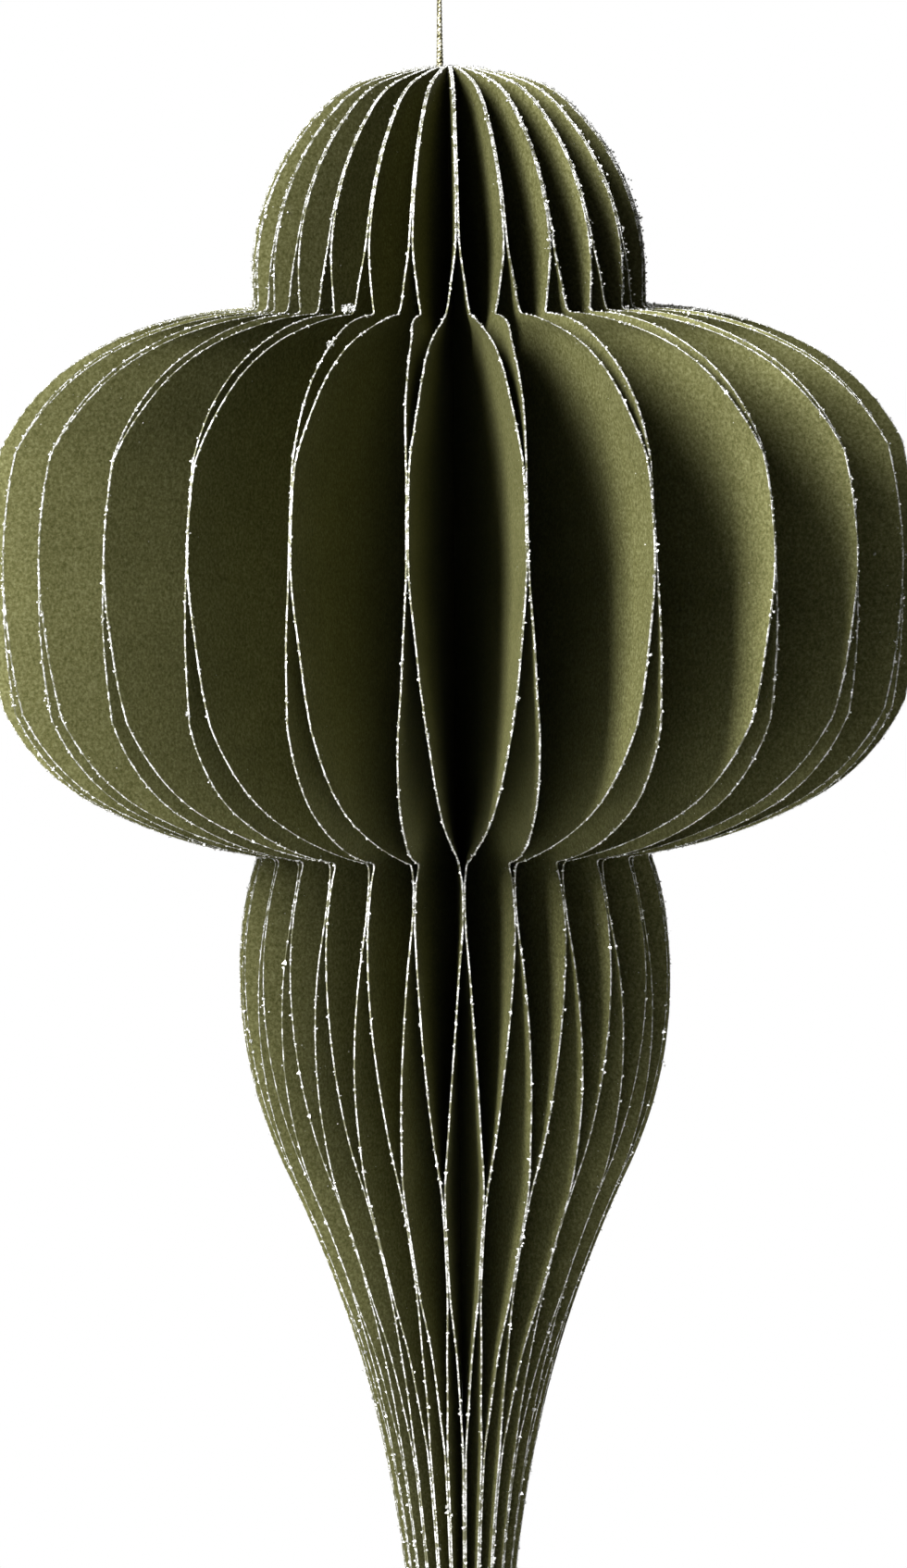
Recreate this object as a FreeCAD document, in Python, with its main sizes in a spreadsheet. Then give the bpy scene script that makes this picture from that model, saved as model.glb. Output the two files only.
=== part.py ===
import FreeCAD, Part
import math
import os
import Sketcher
from FreeCAD import Placement, Rotation, Vector

# Hanging paper finial ornament. Forty-eight die-cut leaves of card stand round an upright axis.
# Every leaf is glued to one neighbour at the dome, the lower waist and the stem, and to its other
# neighbour at the bulb and the belly, so the leaves bow apart between the glue lines.
# Millimetres, +Z up. The origin is where a hook bears inside the top of the cord loop.

SIZES = [
    # The card and how it is put together
    ("leaf_pairs", 24),
    ("card_thickness", 0.25),
    ("glue_thickness", 0.02),
    ("spine_slack", 0.044),
    # How unevenly the fan is spread, in degrees
    ("fan_turn", 2.1),
    ("fan_swell", 8.4),
    ("fan_lean_waists", -4.2),
    ("fan_lean_bulges", 0.8),
    # The half outline of a leaf from the top down: distance from the axis, height and arc radius
    ("crown_radius", 14.0),
    ("crown_height", 2.6),
    ("crown_round", 60.0),
    ("shoulder_radius", 21.0),
    ("shoulder_height", 4.9),
    ("shoulder_round", 17.0),
    ("dome_radius", 31.9),
    ("dome_height", 28.5),
    ("dome_round", 38.5),
    ("dome_foot_height", 2.6),
    ("waist_fillet", 0.8),
    ("bulb_shoulder_radius", 59.0),
    ("bulb_shoulder_height", 7.1),
    ("bulb_shoulder_round", 52.5),
    ("bulb_upper_radius", 72.8),
    ("bulb_upper_height", 15.0),
    ("bulb_upper_round", 35.0),
    ("bulb_radius", 75.1),
    ("bulb_side_height", 21.5),
    ("bulb_side_round", 101.0),
    ("bulb_lower_radius", 73.1),
    ("bulb_lower_height", 20.5),
    ("bulb_lower_round", 101.0),
    ("bulb_turn_radius", 59.5),
    ("bulb_turn_height", 15.0),
    ("bulb_turn_round", 34.0),
    ("bulb_under_height", 9.07),
    ("bulb_under_round", 78.5),
    ("waist_radius", 32.1),
    ("waist_fillet_width", 0.65),
    ("waist_fillet_height", 1.05),
    ("belly_radius", 35.0),
    ("belly_upper_height", 19.38),
    ("belly_upper_round", 62.5),
    ("belly_lower_radius", 28.0),
    ("belly_lower_height", 30.5),
    ("belly_lower_round", 72.5),
    ("stem_radius", 14.55),
    ("stem_upper_height", 36.0),
    ("stem_upper_round", 190.0),
    ("stem_lower_radius", 9.15),
    ("stem_lower_height", 29.0),
    ("stem_lower_round", 230.0),
    ("tip_radius", 4.4),
    ("tip_taper_height", 56.5),
    ("tip_taper_round", 600.0),
    ("tip_height", 10.0),
    ("tip_round", 14.0),
    # Where the leaves are glued
    ("dome_open_height", 13.1),
    ("bulb_glue_above", 19.0),
    ("bulb_glue_height", 14.0),
    ("waist_glue_drop", 2.4),
    ("waist_glue_height", 7.5),
    ("belly_glue_drop", 3.5),
    ("belly_glue_height", 15.5),
    ("stem_glue_drop", 11.5),
    # The hanging cord and its knot
    ("cord_diameter", 0.8),
    ("cord_offset", 1.2),
    ("cord_rise", 45.0),
    ("loop_width", 6.2),
    ("strand_gap", 0.1),
    ("knot_clearance", 0.1),
    ("knot_height", 2.6),
    ("knot_depth", 0.6),
    ("knot_fillet", 0.15),
]

# The outline's corners below the top, each with the arc that leads down to it.
# "out" bulges away from the axis, "in" curves towards it, and "line" is straight.
# A distance from the axis can be the sum of two sizes.
OUTLINE = [
    ("crown_radius", "crown_height", "crown_round", "out"),
    ("shoulder_radius", "shoulder_height", "shoulder_round", "out"),
    ("dome_radius", "dome_height", "dome_round", "out"),
    ("dome_radius", "dome_foot_height", None, "line"),
    ("dome_radius + waist_fillet", "waist_fillet", "waist_fillet", "in"),
    ("bulb_shoulder_radius", "bulb_shoulder_height", "bulb_shoulder_round", "out"),
    ("bulb_upper_radius", "bulb_upper_height", "bulb_upper_round", "out"),
    ("bulb_radius", "bulb_side_height", "bulb_side_round", "out"),
    ("bulb_lower_radius", "bulb_lower_height", "bulb_lower_round", "out"),
    ("bulb_turn_radius", "bulb_turn_height", "bulb_turn_round", "out"),
    ("waist_radius + waist_fillet_width", "bulb_under_height", "bulb_under_round", "out"),
    ("waist_radius", "waist_fillet_height", "waist_fillet", "in"),
    ("belly_radius", "belly_upper_height", "belly_upper_round", "out"),
    ("belly_lower_radius", "belly_lower_height", "belly_lower_round", "out"),
    ("stem_radius", "stem_upper_height", "stem_upper_round", "in"),
    ("stem_lower_radius", "stem_lower_height", "stem_lower_round", "in"),
    ("tip_radius", "tip_taper_height", "tip_taper_round", "in"),
    (None, "tip_height", "tip_round", "out"),
]

# How a leaf crosses from one neighbour (0) to the other (1) between two glued stretches:
# share of the height between them, and how far across it is there.
DOME_TO_BULB = [
    (0.12, 0.06),
    (0.22, 0.24),
    (0.31, 0.33),
    (0.38, 0.50),
    (0.43, 0.72),
    (0.49, 0.81),
    (0.60, 0.86),
    (0.71, 0.89),
    (0.86, 0.965),
]
BULB_TO_WAIST = [
    (0.10, 0.965),
    (0.23, 0.89),
    (0.38, 0.84),
    (0.54, 0.74),
    (0.67, 0.67),
    (0.78, 0.58),
    (0.86, 0.455),
    (0.92, 0.23),
]
WAIST_TO_BELLY = [(0.12, 0.12), (0.28, 0.25), (0.46, 0.4), (0.64, 0.57), (0.8, 0.71), (0.91, 0.87)]
BELLY_TO_STEM = [(0.14, 0.89), (0.33, 0.63), (0.54, 0.49), (0.75, 0.32), (0.9, 0.09)]
GLUED_SHARES = (0.0, 0.5, 1.0)

# Glue lines that stand off their even place in the fan, by step from the front: degrees.
WAIST_NUDGES = {3: -0.6, 4: -1.2, 18: -2.4}
BULGE_NUDGES = {0.5: -0.6, 2.5: 1.5, 3.5: 1.2, 4.5: -0.9, 19.5: -0.8}

SURFACE_DEGREE = 3
REACH_MARGIN = 5.0
END_MARGIN = 2.0
BEND_SHARE = 0.45

doc = FreeCAD.newDocument("paper_finial")
sheet = doc.addObject("Spreadsheet::Sheet", "sizes")
for row, (alias, value) in enumerate(SIZES, start=1):
    sheet.set(f"A{row}", alias)
    sheet.set(f"B{row}", str(value))
    sheet.setAlias(f"B{row}", alias)
doc.recompute()


def size(alias):
    """The value of one size, or of several joined by plus signs."""
    return sum(float(sheet.get(part)) for part in alias.split(" + "))


def in_sheet(alias):
    """The same size or sum as an expression for a constraint."""
    return " + ".join(f"sizes.{part}" for part in alias.split(" + "))


def core_radius():
    """The radius of the hollow core that the leaves' spine edges crowd round."""
    pitch = size("card_thickness") + size("glue_thickness") + size("spine_slack")
    return size("leaf_pairs") * pitch / math.pi


def depths():
    """How far below the paper's top each outline corner lies, by the name of its height."""
    found = {}
    depth = 0.0
    for _, height, _, _ in OUTLINE:
        depth += size(height)
        found[height] = depth
    return found


def arc_between(start, end, radius, outward):
    """The shorter arc down from start to end, in the sketch plane."""
    chord = end - start
    middle = (start + end) * 0.5
    across = Vector(chord.y, -chord.x, 0).normalize()
    side = 1 if outward else -1
    sagitta_leg = math.sqrt(radius**2 - (chord.Length / 2) ** 2)
    centre = middle + across * side * sagitta_leg
    first, last = (end, start) if outward else (start, end)
    angles = [math.atan2(p.y - centre.y, p.x - centre.x) for p in (first, last)]
    if angles[1] < angles[0]:
        angles[1] += 2 * math.pi
    circle = Part.Circle(centre, Vector(0, 0, 1), radius)
    return Part.ArcOfCircle(circle, angles[0], angles[1])


def outline_sketch():
    """The half outline of one flat leaf, closed along the axis."""
    sketch = doc.addObject("Sketcher::SketchObject", "leaf_outline")
    sketch.Placement = Placement(Vector(0, 0, 0), Rotation(Vector(1, 0, 0), 90))
    here = Vector(0, 0, 0)
    upper = None
    height_sum = ""
    for radius, height, bend, kind in OUTLINE:
        out = size(radius) if radius else 0.0
        there = Vector(out, here.y - size(height), 0)
        if kind == "line":
            edge = sketch.addGeometry(Part.LineSegment(here, there))
            top, foot = 1, 2
        else:
            outward = kind == "out"
            edge = sketch.addGeometry(arc_between(here, there, size(bend), outward))
            top, foot = (2, 1) if outward else (1, 2)
            added = sketch.addConstraint(Sketcher.Constraint("Radius", edge, size(bend)))
            sketch.setExpression(f"Constraints[{added}]", in_sheet(bend))
        joined = (-1, 1) if upper is None else upper
        sketch.addConstraint(Sketcher.Constraint("Coincident", edge, top, *joined))
        height_sum += f"{' + ' if height_sum else ''}{in_sheet(height)}"
        drop = Sketcher.Constraint("DistanceY", edge, foot, -1, 1, -there.y)
        added = sketch.addConstraint(drop)
        sketch.setExpression(f"Constraints[{added}]", height_sum)
        if radius:
            spread = Sketcher.Constraint("DistanceX", -1, 1, edge, foot, out)
            added = sketch.addConstraint(spread)
            sketch.setExpression(f"Constraints[{added}]", in_sheet(radius))
        else:
            sketch.addConstraint(Sketcher.Constraint("PointOnObject", edge, foot, -2))
        upper = (edge, foot)
        here = there
    spine = sketch.addGeometry(Part.LineSegment(here, Vector(0, 0, 0)))
    sketch.addConstraint(Sketcher.Constraint("Coincident", spine, 1, *upper))
    sketch.addConstraint(Sketcher.Constraint("Coincident", spine, 2, -1, 1))
    return sketch


def crossing():
    """Depths below the top and how far across a leaf is there, down its whole height."""
    at = depths()
    glued = [(-END_MARGIN, at["dome_foot_height"] - size("dome_open_height"), 0)]
    start = at["bulb_side_height"] - size("bulb_glue_above")
    glued.append((start, start + size("bulb_glue_height"), 1))
    start = at["bulb_under_height"] + size("waist_glue_drop")
    glued.append((start, start + size("waist_glue_height"), 0))
    start = at["belly_lower_height"] + size("belly_glue_drop")
    glued.append((start, start + size("belly_glue_height"), 1))
    start = at["stem_upper_height"] + size("stem_glue_drop")
    glued.append((start, at["tip_height"] + END_MARGIN, 0))
    between = [DOME_TO_BULB, BULB_TO_WAIST, WAIST_TO_BELLY, BELLY_TO_STEM, []]
    stations = []
    for (first, last, across), shape in zip(glued, between):
        stations += [(first + (last - first) * share, across) for share in GLUED_SHARES]
        if shape:
            following = glued[glued.index((first, last, across)) + 1][0]
            stations += [(last + (following - last) * share, part) for share, part in shape]
    return stations


def fan_angle(step, lean, nudges):
    """Degrees from the front for a glue line that an even fan would have at this step."""
    even = math.radians(step * 360 / size("leaf_pairs"))
    swell = size("fan_swell") * (1 - math.cos(even))
    nudge = nudges.get(step, 0)
    return math.degrees(even) + size("fan_turn") + swell + lean * math.sin(even) + nudge


def polar(radius, degrees, sideways=0.0):
    """A point at this radius and angle, moved sideways across that direction."""
    angle = math.radians(degrees)
    x = radius * math.cos(angle) - sideways * math.sin(angle)
    y = radius * math.sin(angle) + sideways * math.cos(angle)
    return x, y


def leaf_sheet(number, at_waists, at_bulges, at_spine, side, stations):
    """The middle surface of a sheet that turns from one glue line to the other, not yet cut.

    It is ruled: straight from the spine outwards at every height. Angles are measured from the
    leaf's own middle direction, which is its local X.
    """
    reach = max(size(radius) for radius, *_ in OUTLINE if radius) + REACH_MARGIN
    half_pitch = (size("card_thickness") + size("glue_thickness")) / 2
    inner_x, inner_y = polar(core_radius(), at_spine)
    inner = []
    outer = []
    for depth, across in stations:
        angle = at_waists + (at_bulges - at_waists) * across
        outer_x, outer_y = polar(reach, angle, side * half_pitch * (1 - 2 * across))
        inner.append(Vector(inner_x, inner_y, -depth))
        outer.append(Vector(outer_x, outer_y, -depth))
    spans = len(stations) - SURFACE_DEGREE
    surface = Part.BSplineSurface()
    surface.buildFromPolesMultsKnots(
        [inner, outer],
        [2, 2],
        [SURFACE_DEGREE + 1] + [1] * (spans - 1) + [SURFACE_DEGREE + 1],
        [0.0, 1.0],
        [float(knot) for knot in range(spans + 1)],
        False,
        False,
        1,
        SURFACE_DEGREE,
    )
    middle = doc.addObject("Part::Feature", f"sheet_{number:02d}")
    middle.Shape = surface.toShape()
    return middle


def leaves(die):
    """Every leaf: its own sheet, cut by the shared outline, thickened and turned into place."""
    pairs = int(size("leaf_pairs"))
    stations = crossing()
    made = []
    for index in range(2 * pairs):
        pair = index // 2
        side = 1 if index % 2 else -1
        waists = fan_angle(pair, size("fan_lean_waists"), WAIST_NUDGES)
        bulges = fan_angle(pair + side / 2, size("fan_lean_bulges"), BULGE_NUDGES)
        spine = (index - 0.5) * 180 / pairs + size("fan_turn") + size("fan_swell")
        middle = (waists + bulges) / 2
        number = index + 1
        angles = [angle - middle for angle in (waists, bulges, spine)]
        cut = doc.addObject("Part::Common", f"cut_{number:02d}")
        cut.Base = leaf_sheet(number, *angles, side, stations)
        cut.Tool = die
        leaf = doc.addObject("Part::Extrusion", f"leaf_{number:02d}")
        leaf.Label = f"leaf_{number:02d}"
        leaf.Base = cut
        leaf.DirMode = "Custom"
        leaf.Dir = Vector(0, 1, 0)
        leaf.setExpression("LengthFwd", "sizes.card_thickness")
        leaf.Symmetric = True
        leaf.Solid = True
        leaf.Placement = Placement(
            Vector(size("cord_offset"), 0, -size("cord_rise")),
            Rotation(Vector(0, 0, 1), middle - 90),
        )
        made.append(leaf)
    return made


def leaf_die():
    """The outline as a thick block, which cuts every sheet to the same shape."""
    block = doc.addObject("Part::Extrusion", "leaf_die")
    block.Base = outline_sketch()
    block.DirMode = "Custom"
    block.Dir = Vector(0, 1, 0)
    block.setExpression("LengthFwd", "sizes.bulb_radius")
    block.Symmetric = True
    block.Solid = True
    return block


def cord_route():
    """The loop's route: up from the knot, over the hook and back down to the knot."""
    thick = size("cord_diameter")
    half_foot = (thick + size("strand_gap")) / 2
    half_top = size("loop_width") / 2
    top = thick / 2
    knot_top = -size("cord_rise") - size("knot_depth")
    # A leaning strand's end is raised until its lower edge meets the knot's flat top
    lean = math.atan((half_top - half_foot) / (top - knot_top))
    foot = knot_top + thick / 2 * math.sin(lean)
    return [
        Vector(0, -half_foot, foot),
        Vector(0, -half_top, top),
        Vector(0, half_top, top),
        Vector(0, half_foot, foot),
    ]


def rounded_path(points):
    """Straight runs joined by arcs, each of which takes most of half its shorter run."""
    edges = []
    here = points[0]
    for before, corner, after in zip(points, points[1:], points[2:]):
        back = before - corner
        ahead = after - corner
        half_turn = (math.pi - back.getAngle(ahead)) / 2
        trim = BEND_SHARE * min(back.Length, ahead.Length)
        radius = trim / math.tan(half_turn)
        back.normalize()
        ahead.normalize()
        start = corner + back * trim
        end = corner + ahead * trim
        inward = (back + ahead).normalize()
        middle = corner + inward * (radius / math.cos(half_turn) - radius)
        edges.append(Part.LineSegment(here, start).toShape())
        edges.append(Part.Arc(start, middle, end).toShape())
        print(f"cord bend radius {radius:.2f} mm")
        here = end
    edges.append(Part.LineSegment(here, points[-1]).toShape())
    return Part.Wire(edges)


def hanging_cord():
    path = rounded_path(cord_route())
    start = cord_route()[0]
    along = (cord_route()[1] - start).normalize()
    ring = Part.Wire(Part.Circle(start, along, size("cord_diameter") / 2).toShape())
    cord = doc.addObject("Part::Feature", "hanging_cord")
    cord.Label = "hanging_cord"
    cord.Shape = path.makePipeShell([ring], True, False)
    section = math.pi * (size("cord_diameter") / 2) ** 2
    print(f"cord {path.Length:.1f} mm, volume ratio {cord.Shape.Volume / (section * path.Length):.4f}")
    return cord


def cord_knot():
    """The knot that holds the cord in the core, just under the paper's top."""
    barrel = doc.addObject("Part::Cylinder", "knot_barrel")
    barrel.Radius = core_radius() - size("cord_offset") - size("knot_clearance")
    barrel.setExpression("Height", "sizes.knot_height")
    knot = doc.addObject("Part::Fillet", "cord_knot")
    knot.Label = "cord_knot"
    knot.Base = barrel
    doc.recompute()
    rims = [
        number
        for number, edge in enumerate(barrel.Shape.Edges, start=1)
        if isinstance(edge.Curve, Part.Circle)
    ]
    knot.Edges = [(rim, size("knot_fillet"), size("knot_fillet")) for rim in rims]
    foot = -size("cord_rise") - size("knot_depth") - size("knot_height")
    knot.Placement = Placement(Vector(0, 0, foot), Rotation())
    return knot


parts = leaves(leaf_die())
parts.append(hanging_cord())
parts.append(cord_knot())
doc.recompute()

for item in doc.Objects:
    if "Invalid" in item.State or "Error" in item.State:
        raise RuntimeError(f"{item.Name} did not compute: {item.State}")
for item in parts:
    if item.Shape.isNull() or not item.Shape.isValid() or len(item.Shape.Solids) != 1:
        raise RuntimeError(f"{item.Label} is not one valid solid")

os.makedirs("parts", exist_ok=True)
for item in parts:
    item.Shape.exportStep(f"parts/{item.Label}.step")
print(f"{len(parts)} pieces written")
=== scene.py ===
import math

import bpy
import numpy as np
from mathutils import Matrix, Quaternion, Vector


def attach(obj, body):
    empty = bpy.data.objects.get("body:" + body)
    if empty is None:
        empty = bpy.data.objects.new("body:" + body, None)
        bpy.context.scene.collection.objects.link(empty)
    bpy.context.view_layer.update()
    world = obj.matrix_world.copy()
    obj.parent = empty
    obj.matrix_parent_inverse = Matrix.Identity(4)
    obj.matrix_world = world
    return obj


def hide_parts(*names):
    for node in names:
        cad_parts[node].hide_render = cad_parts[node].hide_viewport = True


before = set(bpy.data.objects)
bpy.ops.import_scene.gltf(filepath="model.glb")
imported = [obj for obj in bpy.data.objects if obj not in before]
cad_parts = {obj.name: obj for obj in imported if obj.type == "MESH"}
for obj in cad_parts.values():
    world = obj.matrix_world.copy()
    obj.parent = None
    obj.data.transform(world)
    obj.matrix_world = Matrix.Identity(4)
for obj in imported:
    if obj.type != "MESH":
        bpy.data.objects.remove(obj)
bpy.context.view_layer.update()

# Hanging paper finial ornament. Lengths are metres unless a name says otherwise.
# The origin is inside the top of the cord loop, and the ornament's axis stands beside it.
MM = 0.001
SEED = 48

PAIRS = 24
CARD = 0.25 * MM
GLUE = 0.02 * MM
SPINE_SLACK = 0.044 * MM
CORE = PAIRS * (CARD + GLUE + SPINE_SLACK) / math.pi
AXIS_X = 1.2 * MM
CORD_RISE = 45 * MM

FAN_TURN = 2.1
FAN_SWELL = 8.4
LEAN_WAISTS = -4.2
LEAN_BULGES = 0.8
# Glue lines that stand off their even place in the fan, by step from the front: degrees.
WAIST_NUDGES = {3: -0.6, 4: -1.2, 18: -2.4}
BULGE_NUDGES = {0.5: -0.6, 2.5: 1.5, 3.5: 1.2, 4.5: -0.9, 19.5: -0.8}

# The half outline from the top down: millimetres from the axis, millimetres of height and the
# radius of the arc that leads there, which bulges out, curves in, or is a straight line.
OUTLINE = [
    ("crown", 14.0, 2.6, 60.0, "out"),
    ("shoulder", 21.0, 4.9, 17.0, "out"),
    ("dome", 31.9, 28.5, 38.5, "out"),
    ("upper_waist", 31.9, 2.6, None, "line"),
    ("upper_fillet", 32.7, 0.8, 0.8, "in"),
    ("bulb_shoulder", 59.0, 7.1, 52.5, "out"),
    ("bulb_upper", 72.8, 15.0, 35.0, "out"),
    ("bulb_widest", 75.1, 21.5, 101.0, "out"),
    ("bulb_lower", 73.1, 20.5, 101.0, "out"),
    ("bulb_turn", 59.5, 15.0, 34.0, "out"),
    ("bulb_under", 32.75, 9.07, 78.5, "out"),
    ("lower_fillet", 32.1, 1.05, 0.8, "in"),
    ("belly_widest", 35.0, 19.38, 62.5, "out"),
    ("belly_lower", 28.0, 30.5, 72.5, "out"),
    ("stem", 14.55, 36.0, 190.0, "in"),
    ("stem_lower", 9.15, 29.0, 230.0, "in"),
    ("tip", 4.4, 56.5, 600.0, "in"),
    ("tip_end", 0.0, 10.0, 14.0, "out"),
]

# How a leaf crosses from one neighbour (0) to the other (1) between two glued stretches.
DOME_TO_BULB = [
    (0.12, 0.06),
    (0.22, 0.24),
    (0.31, 0.33),
    (0.38, 0.50),
    (0.43, 0.72),
    (0.49, 0.81),
    (0.60, 0.86),
    (0.71, 0.89),
    (0.86, 0.965),
]
BULB_TO_WAIST = [
    (0.10, 0.965),
    (0.23, 0.89),
    (0.38, 0.84),
    (0.54, 0.74),
    (0.67, 0.67),
    (0.78, 0.58),
    (0.86, 0.455),
    (0.92, 0.23),
]
WAIST_TO_BELLY = [(0.12, 0.12), (0.28, 0.25), (0.46, 0.4), (0.64, 0.57), (0.8, 0.71), (0.91, 0.87)]
BELLY_TO_STEM = [(0.14, 0.89), (0.33, 0.63), (0.54, 0.49), (0.75, 0.32), (0.9, 0.09)]
GLUED_SHARES = (0.0, 0.5, 1.0)
END_MARGIN = 2 * MM
REACH = 80.1 * MM
SURFACE_DEGREE = 3

# Faint waves in the card between its glued stretches: how high they stand at a distance from the
# axis, and the depth in which each turns by one radian.
WAVE_HEIGHT = 0.12 * MM
WAVE_RADIUS = 40 * MM
WAVE_DEPTHS = (9 * MM, 23 * MM)

# A leaf's mesh: rows down it, columns as shares of its width, and the glittered strip along its
# cut edge, which is narrower from a depth down and never more than a share of the leaf's width.
ROW_SPACING = 2.0 * MM
COLUMNS = (0.0, 0.2, 0.4, 0.58, 0.74, 0.87, 0.96)
SPINE_MARGIN = 0.05 * MM
COAT_WIDTH = 0.16 * MM
THIN_COAT_WIDTH = 0.05 * MM
THIN_BELOW = 128 * MM
COAT_SHARE = 0.3
SHARP_ANGLE = math.radians(40)


def outline_corners():
    """Each outline corner's distance from the axis and depth below the top, by name."""
    depth = 0.0
    corners = {}
    for name, radius, height, _, _ in OUTLINE:
        depth += height * MM
        corners[name] = (radius * MM, depth)
    return corners


CORNERS = outline_corners()


def outline_points(spacing):
    """Points down the outline, as distance from the axis and depth below the top."""
    here = np.zeros(2)
    points = [here]
    for _, radius, height, bend, kind in OUTLINE:
        there = np.array([radius * MM, here[1] + height * MM])
        chord = there - here
        length = np.linalg.norm(chord)
        steps = max(4, math.ceil(length / spacing))
        share = np.linspace(0, 1, steps + 1)[1:, None]
        if kind == "line":
            points += list(here + chord * share)
        else:
            bend *= MM
            outward = np.array([chord[1], -chord[0]]) / length
            side = 1 if kind == "out" else -1
            centre = (here + there) / 2 - side * outward * math.sqrt(bend**2 - length**2 / 4)
            first, last = (math.atan2(*(p - centre)[::-1]) for p in (here, there))
            turn = (last - first + math.pi) % (2 * math.pi) - math.pi
            angle = first + turn * share[:, 0]
            points += list(centre + bend * np.c_[np.cos(angle), np.sin(angle)])
        here = there
    return np.array(points)


def crossing_stations():
    """Depths below the top and how far across a leaf is there, down its whole height."""
    depth = {name: corner[1] for name, corner in CORNERS.items()}
    bulb = depth["bulb_widest"] - 19 * MM
    waist = depth["bulb_under"] + 2.4 * MM
    belly = depth["belly_lower"] + 3.5 * MM
    glued = [
        (-END_MARGIN, depth["upper_waist"] - 13.1 * MM, 0),
        (bulb, bulb + 14 * MM, 1),
        (waist, waist + 7.5 * MM, 0),
        (belly, belly + 15.5 * MM, 1),
        (depth["stem"] + 11.5 * MM, depth["tip_end"] + END_MARGIN, 0),
    ]
    between = [DOME_TO_BULB, BULB_TO_WAIST, WAIST_TO_BELLY, BELLY_TO_STEM, []]
    stations = []
    for place, shape in enumerate(between):
        first, last, across = glued[place]
        stations += [(first + (last - first) * share, across) for share in GLUED_SHARES]
        if shape:
            following = glued[place + 1][0]
            stations += [(last + (following - last) * share, part) for share, part in shape]
    return np.array(stations)


def spline_through(stations, samples=3000):
    """The clamped B-spline that the stations control, as finely spaced points."""
    count = len(stations)
    spans = count - SURFACE_DEGREE
    knots = np.r_[[0] * SURFACE_DEGREE, np.arange(spans + 1), [spans] * SURFACE_DEGREE]
    at = np.linspace(0, spans - 1e-9, samples)
    weights = [(knots[i] <= at) & (at < knots[i + 1]) for i in range(len(knots) - 1)]
    weights = [w.astype(float) for w in weights]
    for degree in range(1, SURFACE_DEGREE + 1):
        raised = []
        for i in range(len(knots) - 1 - degree):
            total = np.zeros(samples)
            if knots[i + degree] > knots[i]:
                total += (at - knots[i]) / (knots[i + degree] - knots[i]) * weights[i]
            if knots[i + degree + 1] > knots[i + 1]:
                rest = (knots[i + degree + 1] - at) / (knots[i + degree + 1] - knots[i + 1])
                total += rest * weights[i + 1]
            raised.append(total)
        weights = raised
    return np.array(weights).T @ stations


CROSSING = spline_through(crossing_stations())


def across_at(depth):
    return np.interp(depth, CROSSING[:, 0], CROSSING[:, 1])


def fan_angle(step, lean, nudges):
    """Degrees from the front for a glue line that an even fan would have at this step."""
    even = math.radians(step * 360 / PAIRS)
    swell = FAN_SWELL * (1 - math.cos(even))
    return math.degrees(even) + FAN_TURN + swell + lean * math.sin(even) + nudges.get(step, 0)


class Leaf:
    """One leaf's surface: points on it by depth below the top and distance from the axis."""

    def __init__(self, number):
        index = number - 1
        pair = index // 2
        self.number = number
        self.side = 1 if index % 2 else -1
        waists = fan_angle(pair, LEAN_WAISTS, WAIST_NUDGES)
        bulges = fan_angle(pair + self.side / 2, LEAN_BULGES, BULGE_NUDGES)
        spine = (index - 0.5) * 180 / PAIRS + FAN_TURN + FAN_SWELL
        self.middle = (waists + bulges) / 2
        self.waists = math.radians(waists - self.middle)
        self.bulges = math.radians(bulges - self.middle)
        at_spine = math.radians(spine - self.middle)
        self.spine = CORE * np.array([math.cos(at_spine), math.sin(at_spine)])
        turn = math.radians(self.middle)
        self.out = np.array([math.sin(turn), -math.cos(turn), 0])
        self.aside = np.array([math.cos(turn), math.sin(turn), 0])
        wander = np.random.default_rng(SEED + number)
        self.phases = wander.uniform(0, 2 * math.pi, 3)

    def sideways(self, depth, radius):
        """How far the card stands across from the leaf's middle plane."""
        across = across_at(depth)
        angle = self.waists + (self.bulges - self.waists) * across
        half_pitch = (CARD + GLUE) / 2 * self.side * (1 - 2 * across)
        outer_x = REACH * np.cos(angle) - half_pitch * np.sin(angle)
        outer_y = REACH * np.sin(angle) + half_pitch * np.cos(angle)
        share = (radius - self.spine[0]) / (outer_x - self.spine[0])
        straight = self.spine[1] + share * (outer_y - self.spine[1])
        free = 4 * across * (1 - across)
        waves = sum(np.sin(depth / turn + phase) for turn, phase in zip(WAVE_DEPTHS, self.phases))
        return straight + free * WAVE_HEIGHT * waves * radius / WAVE_RADIUS

    def place(self, depth, radius, across):
        """A point in the row's frame. across is measured from the card's middle surface."""
        depth, radius, across = np.broadcast_arrays(depth, radius, across)
        aside = self.sideways(depth, radius) + across
        point = radius[..., None] * self.out + aside[..., None] * self.aside
        point[..., 0] += AXIS_X
        point[..., 2] -= CORD_RISE + depth
        return point


LEAVES = [Leaf(number) for number in range(1, 2 * PAIRS + 1)]


def mesh_object(name, points, faces, material_of_face=None, materials=()):
    mesh = bpy.data.meshes.new(name)
    mesh.from_pydata(np.asarray(points).tolist(), [], [list(face) for face in faces])
    for material in materials:
        mesh.materials.append(material)
    if material_of_face is not None:
        mesh.polygons.foreach_set("material_index", np.asarray(material_of_face, dtype=np.int32))
    mesh.update()
    piece = bpy.data.objects.new(name, mesh)
    bpy.context.scene.collection.objects.link(piece)
    return piece


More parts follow.
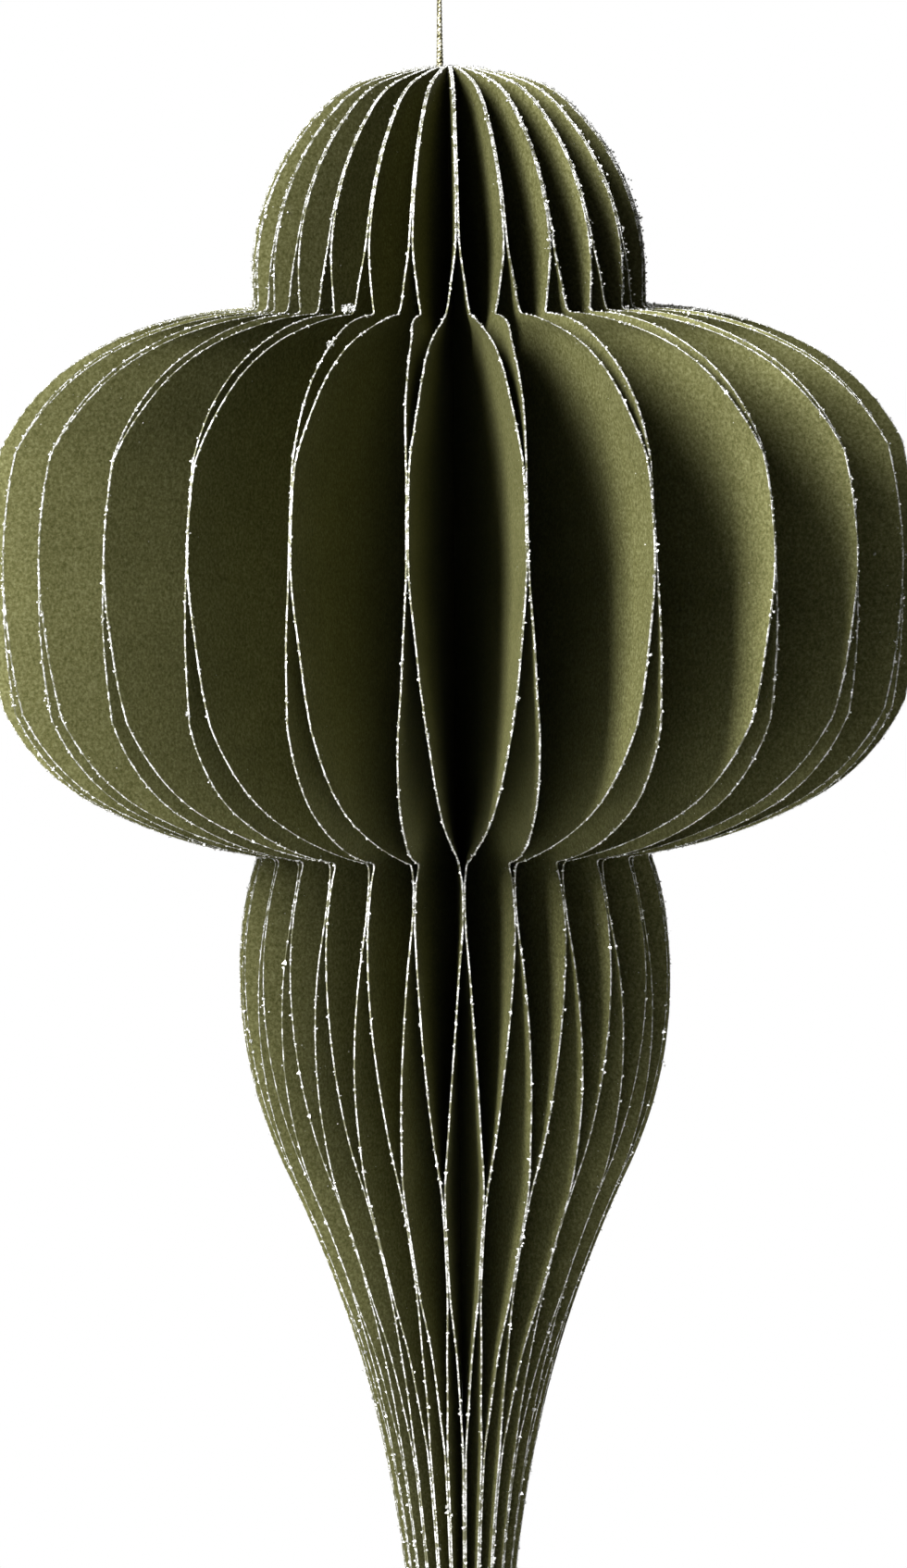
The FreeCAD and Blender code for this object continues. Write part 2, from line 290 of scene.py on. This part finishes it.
def card_rows(leaf):
    """Depth and rim distance of each row of the leaf's mesh, between its two pointed ends."""
    points = outline_points(ROW_SPACING)
    inner = leaf.spine[0] + SPINE_MARGIN
    kept = np.flatnonzero(points[:, 0] > inner)
    ends = []
    for inside, outside in ((kept[0], kept[0] - 1), (kept[-1], kept[-1] + 1)):
        share = (points[inside, 0] - inner) / (points[inside, 0] - points[outside, 0])
        ends.append(points[inside] + share * (points[outside] - points[inside]))
    rim, depth = np.array([ends[0], *points[kept], ends[1]]).T
    return depth, rim


def card(leaf, materials):
    """The leaf as a closed sheet of card: two faces, and a glittered strip all round."""
    depth, rim = card_rows(leaf)
    inner = leaf.spine[0]
    coat = np.where(depth < THIN_BELOW, COAT_WIDTH, THIN_COAT_WIDTH)
    coat = np.minimum(coat, COAT_SHARE * (rim - inner))
    shares = [inner + share * (rim - coat - inner) for share in COLUMNS]
    radius = np.array([*shares, rim - coat, rim]).T
    rows, columns = radius.shape
    grid = [leaf.place(depth[:, None], radius, side * CARD / 2) for side in (-1, 1)]
    points = np.concatenate([g.reshape(-1, 3) for g in grid])
    index = np.arange(rows * columns).reshape(rows, columns)
    far = index + rows * columns
    faces = []
    coated = []

    def add(a, b, c, d, is_coat):
        quads = np.stack([a.ravel(), b.ravel(), c.ravel(), d.ravel()], axis=1)
        faces.append(quads)
        coated.append(np.broadcast_to(is_coat, a.shape).ravel())

    last = np.zeros(columns - 1, int)
    last[-1] = 1
    add(index[:-1, :-1], index[1:, :-1], index[1:, 1:], index[:-1, 1:], last)
    add(far[:-1, :-1], far[:-1, 1:], far[1:, 1:], far[1:, :-1], last)
    add(index[:-1, -1], index[1:, -1], far[1:, -1], far[:-1, -1], 1)
    add(far[:-1, 0], far[1:, 0], index[1:, 0], index[:-1, 0], 0)
    add(index[0, :-1], index[0, 1:], far[0, 1:], far[0, :-1], 1)
    add(far[-1, :-1], far[-1, 1:], index[-1, 1:], index[-1, :-1], 1)
    name = f"leaf_{leaf.number:02d}_card"
    piece = mesh_object(name, points, np.concatenate(faces), np.concatenate(coated), materials)
    piece.data.polygons.foreach_set("use_smooth", [True] * len(piece.data.polygons))
    piece.data.set_sharp_from_angle(angle=SHARP_ANGLE)
    return piece


CHIP_STRETCH = (0.55, 1.25)


def chips(centres, sizes, rng):
    """Small closed chips, one at each centre: tetrahedra turned and stretched at random."""
    corners = np.array([[1, 1, 1], [1, -1, -1], [-1, 1, -1], [-1, -1, 1]], float) / math.sqrt(3)
    count = len(centres)
    axes = rng.normal(size=(count, 3, 3))
    turned, _ = np.linalg.qr(axes)
    turned *= np.sign(np.linalg.det(turned))[:, None, None]
    stretch = rng.uniform(*CHIP_STRETCH, (count, 1, 3))
    shape = (corners[None] * stretch) @ turned
    points = centres[:, None] + shape * sizes[:, None, None]
    faces = np.array([[0, 1, 2], [0, 3, 1], [0, 2, 3], [1, 3, 2]])
    faces = faces[None] + 4 * np.arange(count)[:, None, None]
    return points.reshape(-1, 3), faces.reshape(-1, 3)


# Glitter along a cut edge: grains to the metre, smallest and largest radius, and how far they
# spread across the edge. Below the bulb the edges took less of it, but for single large grains.
GRAINS = (2300, 0.07 * MM, 0.16 * MM, 0.08 * MM)
FLAKES = (880, 0.16 * MM, 0.3 * MM, 0.17 * MM)
LUMPS = (64, 0.26 * MM, 0.44 * MM, 0.24 * MM)
BEADS = (150, 0.28 * MM, 0.44 * MM, 0.08 * MM)
THIN_SHARE = 0.22
# How far the grains lie across the card and off its faces, and how much small ones prevail.
ACROSS_CARD = 0.55
OFF_FACE = 0.4
SMALL_BIAS = 1.6
# The glitter lies in dashes. Three waves, each turning by one radian in its length, and the level
# under which only a share of the grains is left.
DASH_LENGTHS = (0.37 * MM, 0.61 * MM, 1.7 * MM)
DASH_LEVEL = -0.5
BARE_SHARE = 0.3
# The right of the dome took more than the rest: first and last leaf, and how far down.
HEAVY = (5, 15, 42 * MM)
HEAVY_FLAKES = (1000, 0.17 * MM, 0.36 * MM, 0.3 * MM)
# Fine grains on the two faces: how many to a leaf, how far in from the edge they reach, how near
# the spine they come, and their sizes. Then the sizes of the grains in a heap.
STRAY_CHIPS = 110
STRAY_REACH = 2.4 * MM
STRAY_INNER = 0.5 * MM
STRAY_SIZES = (0.05, 0.12)
HEAP_SIZES = (0.1, 0.24)

# Places where the glitter lies in a heap: leaf, depth, distance in from the edge, across the
# card, half length, half height and number of grains.
HEAPS = [
    (45, 38.4 * MM, -0.4 * MM, -1.0 * MM, 1.7 * MM, 0.8 * MM, 110),
    (46, 43.4 * MM, 0.0, -0.2 * MM, 0.7 * MM, 0.6 * MM, 26),
    (46, 46.6 * MM, 0.0, 0.0, 0.35 * MM, 0.45 * MM, 12),
    (1, 104.5 * MM, 0.1 * MM, 0.1 * MM, 0.35 * MM, 0.7 * MM, 14),
    (2, 99.0 * MM, 0.0, 0.2 * MM, 0.4 * MM, 0.5 * MM, 12),
    (44, 101.5 * MM, 0.0, 0.0, 0.4 * MM, 0.8 * MM, 16),
    (4, 57.5 * MM, 0.0, 0.0, 0.5 * MM, 0.5 * MM, 12),
    (10, 79.0 * MM, 4.6 * MM, -0.3 * MM, 0.2 * MM, 0.25 * MM, 6),
]


def patches(leaf, at):
    """How fully the edge is covered at each place along it: dashes with nearly bare gaps."""
    waves = sum(np.sin(at / turn + phase) for turn, phase in zip(DASH_LENGTHS, leaf.phases))
    return np.where(waves > DASH_LEVEL, 1.0, BARE_SHARE)


def along_rim(leaf, rng, kind):
    """Places and sizes of one kind of grain along a leaf's cut edge."""
    per_metre, smallest, largest, spread = kind
    depth, rim = card_rows(leaf)
    along = np.r_[0, np.cumsum(np.hypot(np.diff(depth), np.diff(rim)))]
    count = int(along[-1] * per_metre)
    at = rng.uniform(0, along[-1], count)
    d = np.interp(at, along, depth)
    kept = rng.random(count) < patches(leaf, at)
    if kind is BEADS:
        kept = d > THIN_BELOW
    elif kind is HEAVY_FLAKES:
        kept = d < HEAVY[2]
    elif kind is not LUMPS:
        kept &= (d < THIN_BELOW) | (rng.random(count) < THIN_SHARE)
    at, d = at[kept], d[kept]
    count = len(at)
    r = np.interp(at, along, rim) + rng.normal(0, spread, count)
    across = rng.uniform(-ACROSS_CARD, ACROSS_CARD, count) * CARD
    across += rng.normal(0, OFF_FACE * spread, count)
    size = smallest + (largest - smallest) * rng.random(count) ** SMALL_BIAS
    return leaf.place(d, r, across), size


def strays(leaf, rng):
    """Fine grains that stuck to the two faces, most of them near the cut edge."""
    depth, rim = card_rows(leaf)
    pick = rng.uniform(0, len(depth) - 1, STRAY_CHIPS)
    d = np.interp(pick, np.arange(len(depth)), depth)
    r = np.interp(pick, np.arange(len(depth)), rim) - rng.exponential(STRAY_REACH, STRAY_CHIPS)
    r = np.maximum(r, leaf.spine[0] + STRAY_INNER)
    side = rng.choice([-0.5, 0.5], STRAY_CHIPS)
    return leaf.place(d, r, side * CARD), rng.uniform(*STRAY_SIZES, STRAY_CHIPS) * MM


def heap(leaf, rng, depth, inward, across, half_length, half_height, count):
    """A heap of grains stuck together on a cut edge."""
    rim = np.interp(depth, *card_rows(leaf))
    way = rng.normal(size=(count, 3))
    way *= (rng.random(count) ** 0.5 / np.linalg.norm(way, axis=1))[:, None]
    d = depth + way[:, 0] * half_height
    r = rim - inward + way[:, 1] * half_height
    sizes = rng.uniform(*HEAP_SIZES, count) * MM
    return leaf.place(d, r, across + way[:, 2] * half_length), sizes


def glitter(leaf, material):
    """The glitter on one leaf: a crowded line along its cut edge, strays and heaps."""
    rng = np.random.default_rng(SEED * 100 + leaf.number)
    kinds = [GRAINS, FLAKES, LUMPS, BEADS]
    if HEAVY[0] <= leaf.number <= HEAVY[1]:
        kinds.append(HEAVY_FLAKES)
    found = [along_rim(leaf, rng, kind) for kind in kinds]
    found.append(strays(leaf, rng))
    found += [heap(leaf, rng, *place) for number, *place in HEAPS if number == leaf.number]
    centres, sizes = (np.concatenate(part) for part in zip(*found))
    points, faces = chips(centres, sizes, rng)
    return mesh_object(f"leaf_{leaf.number:02d}_glitter", points, faces, materials=[material])


class Nodes:
    """Short calls for a material's node tree."""

    def __init__(self, name):
        self.material = bpy.data.materials.new(name)
        self.material.use_nodes = True
        self.tree = self.material.node_tree
        self.shader = self.tree.nodes["Principled BSDF"]

    def new(self, kind, **values):
        node = self.tree.nodes.new(kind)
        for key, value in values.items():
            if hasattr(node, key):
                setattr(node, key, value)
            else:
                node.inputs[key.replace("_", " ")].default_value = value
        return node

    def link(self, source, output, target, socket):
        self.tree.links.new(source.outputs[output], target.inputs[socket])

    def ramp(self, factor, output, stops):
        node = self.new("ShaderNodeValToRGB")
        ramp = node.color_ramp
        while len(ramp.elements) < len(stops):
            ramp.elements.new(0.5)
        for element, (place, colour) in zip(ramp.elements, stops):
            element.position = place
            element.color = (*colour, 1)
        self.link(factor, output, node, "Fac")
        return node


def card_material():
    """Matt olive card: a fine mottled grain in its colour and a faint tooth in its surface."""
    m = Nodes("olive_card")
    where = m.new("ShaderNodeTexCoord")
    grain = m.new("ShaderNodeTexNoise", Scale=1900.0, Detail=3.0, Roughness=0.7)
    m.link(where, "Object", grain, "Vector")
    cloud = m.new("ShaderNodeTexNoise", Scale=90.0, Detail=3.0, Roughness=0.6)
    m.link(where, "Object", cloud, "Vector")
    fine = m.ramp(grain, "Fac", [(0.3, (0.066, 0.066, 0.019)), (0.5, (0.122, 0.121, 0.046)),
                                 (0.72, (0.205, 0.203, 0.098))])
    broad = m.ramp(cloud, "Fac", [(0.3, (0.86, 0.86, 0.84)), (0.7, (1.0, 1.0, 1.0))])
    mix = m.new("ShaderNodeMix", data_type="RGBA", blend_type="MULTIPLY")
    mix.inputs[0].default_value = 1.0
    m.link(fine, "Color", mix, 6)
    m.link(broad, "Color", mix, 7)
    m.link(mix, 2, m.shader, "Base Color")
    bump = m.new("ShaderNodeBump", Strength=0.35, Distance=0.00006)
    m.link(grain, "Fac", bump, "Height")
    m.link(bump, "Normal", m.shader, "Normal")
    m.shader.inputs["Metallic"].default_value = 0.5
    m.shader.inputs["Roughness"].default_value = 0.6
    m.shader.inputs["Specular IOR Level"].default_value = 0.15
    return m.material


def glitter_material():
    """White and silver grains, each with a brightness of its own."""
    m = Nodes("silver_glitter")
    each = m.new("ShaderNodeNewGeometry")
    tone = m.ramp(each, "Random Per Island", [(0.0, (0.3, 0.3, 0.28)), (0.25, (0.68, 0.68, 0.66)),
                                              (0.6, (0.9, 0.9, 0.88)), (1.0, (0.98, 0.98, 0.97))])
    m.link(tone, "Color", m.shader, "Base Color")
    metal = m.ramp(each, "Random Per Island", [(0.5, (0.0, 0.0, 0.0)), (0.85, (0.7, 0.7, 0.7))])
    m.link(metal, "Color", m.shader, "Metallic")
    m.shader.inputs["Roughness"].default_value = 0.28
    m.shader.inputs["Specular IOR Level"].default_value = 0.6
    return m.material


def coat_material():
    """The bed of fine grains along a cut edge, with bare card showing between its dashes."""
    m = Nodes("glitter_bed")
    where = m.new("ShaderNodeTexCoord")
    cells = m.new("ShaderNodeTexVoronoi", Scale=3600.0)
    m.link(where, "Object", cells, "Vector")
    tone = m.ramp(cells, "Color", [(0.2, (0.2, 0.2, 0.17)), (0.5, (0.56, 0.56, 0.53)),
                                   (0.8, (0.93, 0.93, 0.91))])
    dashes = m.new("ShaderNodeTexNoise", Scale=750.0, Detail=2.0, Roughness=0.6)
    m.link(where, "Object", dashes, "Vector")
    cover = m.ramp(dashes, "Fac", [(0.44, (0.0, 0.0, 0.0)), (0.52, (1.0, 1.0, 1.0))])
    mix = m.new("ShaderNodeMix", data_type="RGBA")
    m.link(cover, "Color", mix, 0)
    mix.inputs[6].default_value = (0.13, 0.13, 0.07, 1)
    m.link(tone, "Color", mix, 7)
    m.link(mix, 2, m.shader, "Base Color")
    bump = m.new("ShaderNodeBump", Strength=0.9, Distance=0.00012)
    m.link(cells, "Distance", bump, "Height")
    m.link(bump, "Normal", m.shader, "Normal")
    m.shader.inputs["Metallic"].default_value = 0.3
    m.shader.inputs["Roughness"].default_value = 0.35
    return m.material


def cord_material():
    """Pale gold metallic thread, wound tightly."""
    m = Nodes("metallic_thread")
    where = m.new("ShaderNodeTexCoord")
    fibre = m.new("ShaderNodeTexNoise", Scale=2300.0, Detail=2.0)
    m.link(where, "Object", fibre, "Vector")
    tone = m.ramp(fibre, "Fac", [(0.38, (0.08, 0.075, 0.035)), (0.5, (0.36, 0.33, 0.19)),
                                 (0.62, (0.9, 0.88, 0.7))])
    m.link(tone, "Color", m.shader, "Base Color")
    bump = m.new("ShaderNodeBump", Strength=0.6, Distance=0.00008)
    m.link(fibre, "Fac", bump, "Height")
    m.link(bump, "Normal", m.shader, "Normal")
    m.shader.inputs["Metallic"].default_value = 0.75
    m.shader.inputs["Roughness"].default_value = 0.38
    return m.material


CORD = 0.8 * MM
STRAND_GAP = 0.1 * MM
LOOP_WIDTH = 6.2 * MM
KNOT_DEPTH = 0.6 * MM
KNOT_HEIGHT = 2.6 * MM
KNOT_RADIUS = CORE - AXIS_X - 0.1 * MM
KNOT_TURNS = 2.6
KNOT_PLY = 0.42 * MM


def cord_line():
    """The loop's route from the knot over the hook and back, as a smooth NURBS curve."""
    half_foot = (CORD + STRAND_GAP) / 2
    half_top = LOOP_WIDTH / 2
    foot = -CORD_RISE - KNOT_DEPTH
    top = CORD / 2
    near_hook = top - 6 * CORD
    lean = (half_top - half_foot) * 6 * CORD / (top - foot)
    route = [
        (0, -half_foot, foot),
        (0, -half_top + lean, near_hook),
        (0, -half_top, top),
        (0, half_top, top),
        (0, half_top - lean, near_hook),
        (0, half_foot, foot),
    ]
    curve = bpy.data.curves.new("cord_route", "CURVE")
    curve.dimensions = "3D"
    spline = curve.splines.new("NURBS")
    spline.points.add(len(route) - 1)
    for point, place in zip(spline.points, route):
        point.co = (*place, 1)
    spline.order_u = 3
    spline.use_endpoint_u = True
    spline.resolution_u = 40
    guide = bpy.data.objects.new("cord_route", curve)
    bpy.context.scene.collection.objects.link(guide)
    bpy.context.view_layer.update()
    mesh = bpy.data.meshes.new_from_object(guide)
    line = np.array([v.co for v in mesh.vertices])
    bpy.data.objects.remove(guide)
    bpy.data.meshes.remove(mesh)
    bpy.data.curves.remove(curve)
    return line


def evenly(line, step):
    """The same line with points a step apart."""
    along = np.r_[0, np.cumsum(np.linalg.norm(np.diff(line, axis=0), axis=1))]
    at = np.linspace(0, along[-1], max(2, round(along[-1] / step)))
    return np.c_[[np.interp(at, along, line[:, k]) for k in range(3)]].T, at


def square_to(line):
    """Two directions square to a line at each of its points, turning no more than it does."""
    ahead = np.gradient(line, axis=0)
    ahead /= np.linalg.norm(ahead, axis=1)[:, None]
    side = np.empty_like(ahead)
    first = np.cross(ahead[0], [0, 0, 1.0])
    if np.linalg.norm(first) < 1e-3:
        first = np.array([1.0, 0, 0])
    for k, direction in enumerate(ahead):
        reference = side[k - 1] if k else first
        flat = reference - direction * (reference @ direction)
        side[k] = flat / np.linalg.norm(flat)
    return side, np.cross(ahead, side)


def tube(name, line, radius, around, material):
    """A tube along a line, each ring square to it, with flat ends."""
    side, up = square_to(line)
    angle = np.linspace(0, 2 * math.pi, around, endpoint=False)[None, :, None]
    ring = np.cos(angle) * side[:, None] + np.sin(angle) * up[:, None]
    points = line[:, None] + ring * np.reshape(radius, (-1, 1, 1))
    index = np.arange(len(line) * around).reshape(len(line), around)
    following = np.roll(index, -1, axis=1)
    quads = np.stack([index[:-1], following[:-1], following[1:], index[1:]], axis=-1)
    faces = quads.reshape(-1, 4).tolist()
    faces += [index[0][::-1].tolist(), index[-1].tolist()]
    piece = mesh_object(name, points.reshape(-1, 3), faces, materials=[material])
    piece.data.polygons.foreach_set("use_smooth", [True] * len(piece.data.polygons))
    return piece


def join(pieces, name):
    """Several meshes as one piece."""
    with bpy.context.temp_override(active_object=pieces[0], selected_editable_objects=pieces):
        bpy.ops.object.join()
    pieces[0].name = name
    return pieces[0]


STRAND_PITCH = 1.9 * MM
PLIES = 3
PLY_SHARE = 0.29
# The cord loosens and frays towards its foot.
FOOT_SWELL = 0.5
FOOT_REACH = 5 * MM


def cord_loop(material):
    """Three plies twisted round each other along the loop's line."""
    line, at = evenly(cord_line(), 0.12 * MM)
    side, up = square_to(line)
    swell = 1 + FOOT_SWELL * np.exp(-np.maximum(line[:, 2] + CORD_RISE, 0) / FOOT_REACH)
    ply_radius = CORD * PLY_SHARE * swell
    offset = (CORD / 2 * swell - ply_radius)[:, None]
    plies = []
    for ply in range(PLIES):
        angle = 2 * math.pi * (at / STRAND_PITCH + ply / PLIES)
        turned = np.cos(angle)[:, None] * side + np.sin(angle)[:, None] * up
        plies.append(tube(f"ply_{ply}", line + turned * offset, ply_radius, 8, material))
    piece = join(plies, "hanging_cord_thread")
    return piece, line, at[-1]


def knot(material):
    """The knot under the paper's top: the cord's turns wound into a small barrel."""
    radius = KNOT_RADIUS - KNOT_PLY
    at = np.linspace(0, 1, 90)
    angle = 2 * math.pi * KNOT_TURNS * at
    top = -CORD_RISE - KNOT_DEPTH - KNOT_PLY
    height = KNOT_HEIGHT - 2 * KNOT_PLY
    line = np.c_[radius * np.cos(angle), radius * np.sin(angle), top - height * at]
    return tube("cord_knot_thread", line, KNOT_PLY, 10, material)


def camera():
    """A long lens level with the bulb's lower half, tipped slightly down."""
    pixel = 0.15 * MM
    frame_height = 1694 * pixel
    distance = 3.2
    tip_down = math.radians(3.3)
    roll = math.radians(0.52)
    target = Vector((AXIS_X - 0.05 * MM, 0, -CORD_RISE - 116.6 * MM))
    data = bpy.data.cameras.new("camera")
    data.sensor_width = 36
    data.lens = 36 * distance / frame_height
    data.clip_end = 20
    eye = bpy.data.objects.new("camera", data)
    away = Vector((0, -math.cos(tip_down), math.sin(tip_down)))
    eye.location = target + away * distance
    eye.rotation_mode = "QUATERNION"
    eye.rotation_quaternion = (-away).to_track_quat("-Z", "Y")
    eye.rotation_quaternion.rotate(Quaternion(away, -roll))
    bpy.context.scene.collection.objects.link(eye)
    bpy.context.scene.camera = eye


# Each light's azimuth and elevation in degrees, its distance, its width and height, and how
# strongly it lights the ornament. They are turned to a point on the upright through the origin.
LIGHTS = [
    ("key", -39, 29, 0.75, (0.25, 0.54), 11.0),
    ("fill", -5, 10, 1.5, (0.8, 0.8), 0.2),
    ("back", 165, 25, 1.5, (0.8, 0.8), 3.0),
]
LIT_HEIGHT = -0.16
AMBIENT = 0.02
FLOOR_HEIGHT = -0.42
FLOOR_WIDTH = 1.2


def softbox(name, azimuth, elevation, distance, size, irradiance):
    """A soft light turned to the ornament. Azimuth is from the front, positive to the right."""
    around = math.radians(azimuth)
    above = math.radians(elevation)
    level = math.cos(above)
    away = Vector((math.sin(around) * level, -math.cos(around) * level, math.sin(above)))
    data = bpy.data.lights.new(name, "AREA")
    data.shape = "RECTANGLE"
    data.size, data.size_y = size
    data.energy = irradiance * math.pi * distance**2
    lamp = bpy.data.objects.new(name, data)
    lamp.location = Vector((0, 0, LIT_HEIGHT)) + away * distance
    lamp.rotation_euler = away.to_track_quat("Z", "Y").to_euler()
    bpy.context.scene.collection.objects.link(lamp)


def white_to_camera(tree, ambient, output):
    """The background is plain white where the camera sees it, and lights nothing."""
    path = tree.nodes.new("ShaderNodeLightPath")
    white = tree.nodes.new("ShaderNodeBackground")
    white.inputs["Color"].default_value = (1, 1, 1, 1)
    white.inputs["Strength"].default_value = 1.0
    mix = tree.nodes.new("ShaderNodeMixShader")
    tree.links.new(path.outputs["Is Camera Ray"], mix.inputs[0])
    tree.links.new(ambient.outputs[0], mix.inputs[1])
    tree.links.new(white.outputs[0], mix.inputs[2])
    tree.links.new(mix.outputs[0], output)


def studio():
    world = bpy.data.worlds.new("studio")
    world.use_nodes = True
    tree = world.node_tree
    ambient = tree.nodes["Background"]
    ambient.inputs["Color"].default_value = (1, 1, 1, 1)
    ambient.inputs["Strength"].default_value = AMBIENT
    white_to_camera(tree, ambient, tree.nodes["World Output"].inputs["Surface"])
    bpy.context.scene.world = world
    for light in LIGHTS:
        softbox(*light)
    half = FLOOR_WIDTH / 2
    corners = ((-1, -1), (1, -1), (1, 1), (-1, 1))
    points = [(x * half, y * half, FLOOR_HEIGHT) for x, y in corners]
    floor = mesh_object("floor", points, [[0, 1, 2, 3]])
    pale = Nodes("floor")
    pale.shader.inputs["Base Color"].default_value = (0.86, 0.86, 0.85, 1)
    pale.shader.inputs["Roughness"].default_value = 0.9
    floor.data.materials.append(pale.material)


camera()
studio()

bpy.context.scene.view_settings.view_transform = "Standard"

card_look = card_material()
coat_look = coat_material()
glitter_look = glitter_material()
thread_look = cord_material()

cord_piece, cord_path, cord_length = cord_loop(thread_look)
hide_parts("hanging_cord")
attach(cord_piece, "root")

knot_piece = knot(thread_look)
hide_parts("cord_knot")
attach(knot_piece, "root")

for leaf in LEAVES:
    piece = card(leaf, [card_look, coat_look])
    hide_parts(f"leaf_{leaf.number:02d}")
    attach(piece, "root")
    grains = glitter(leaf, glitter_look)
    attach(grains, "root")
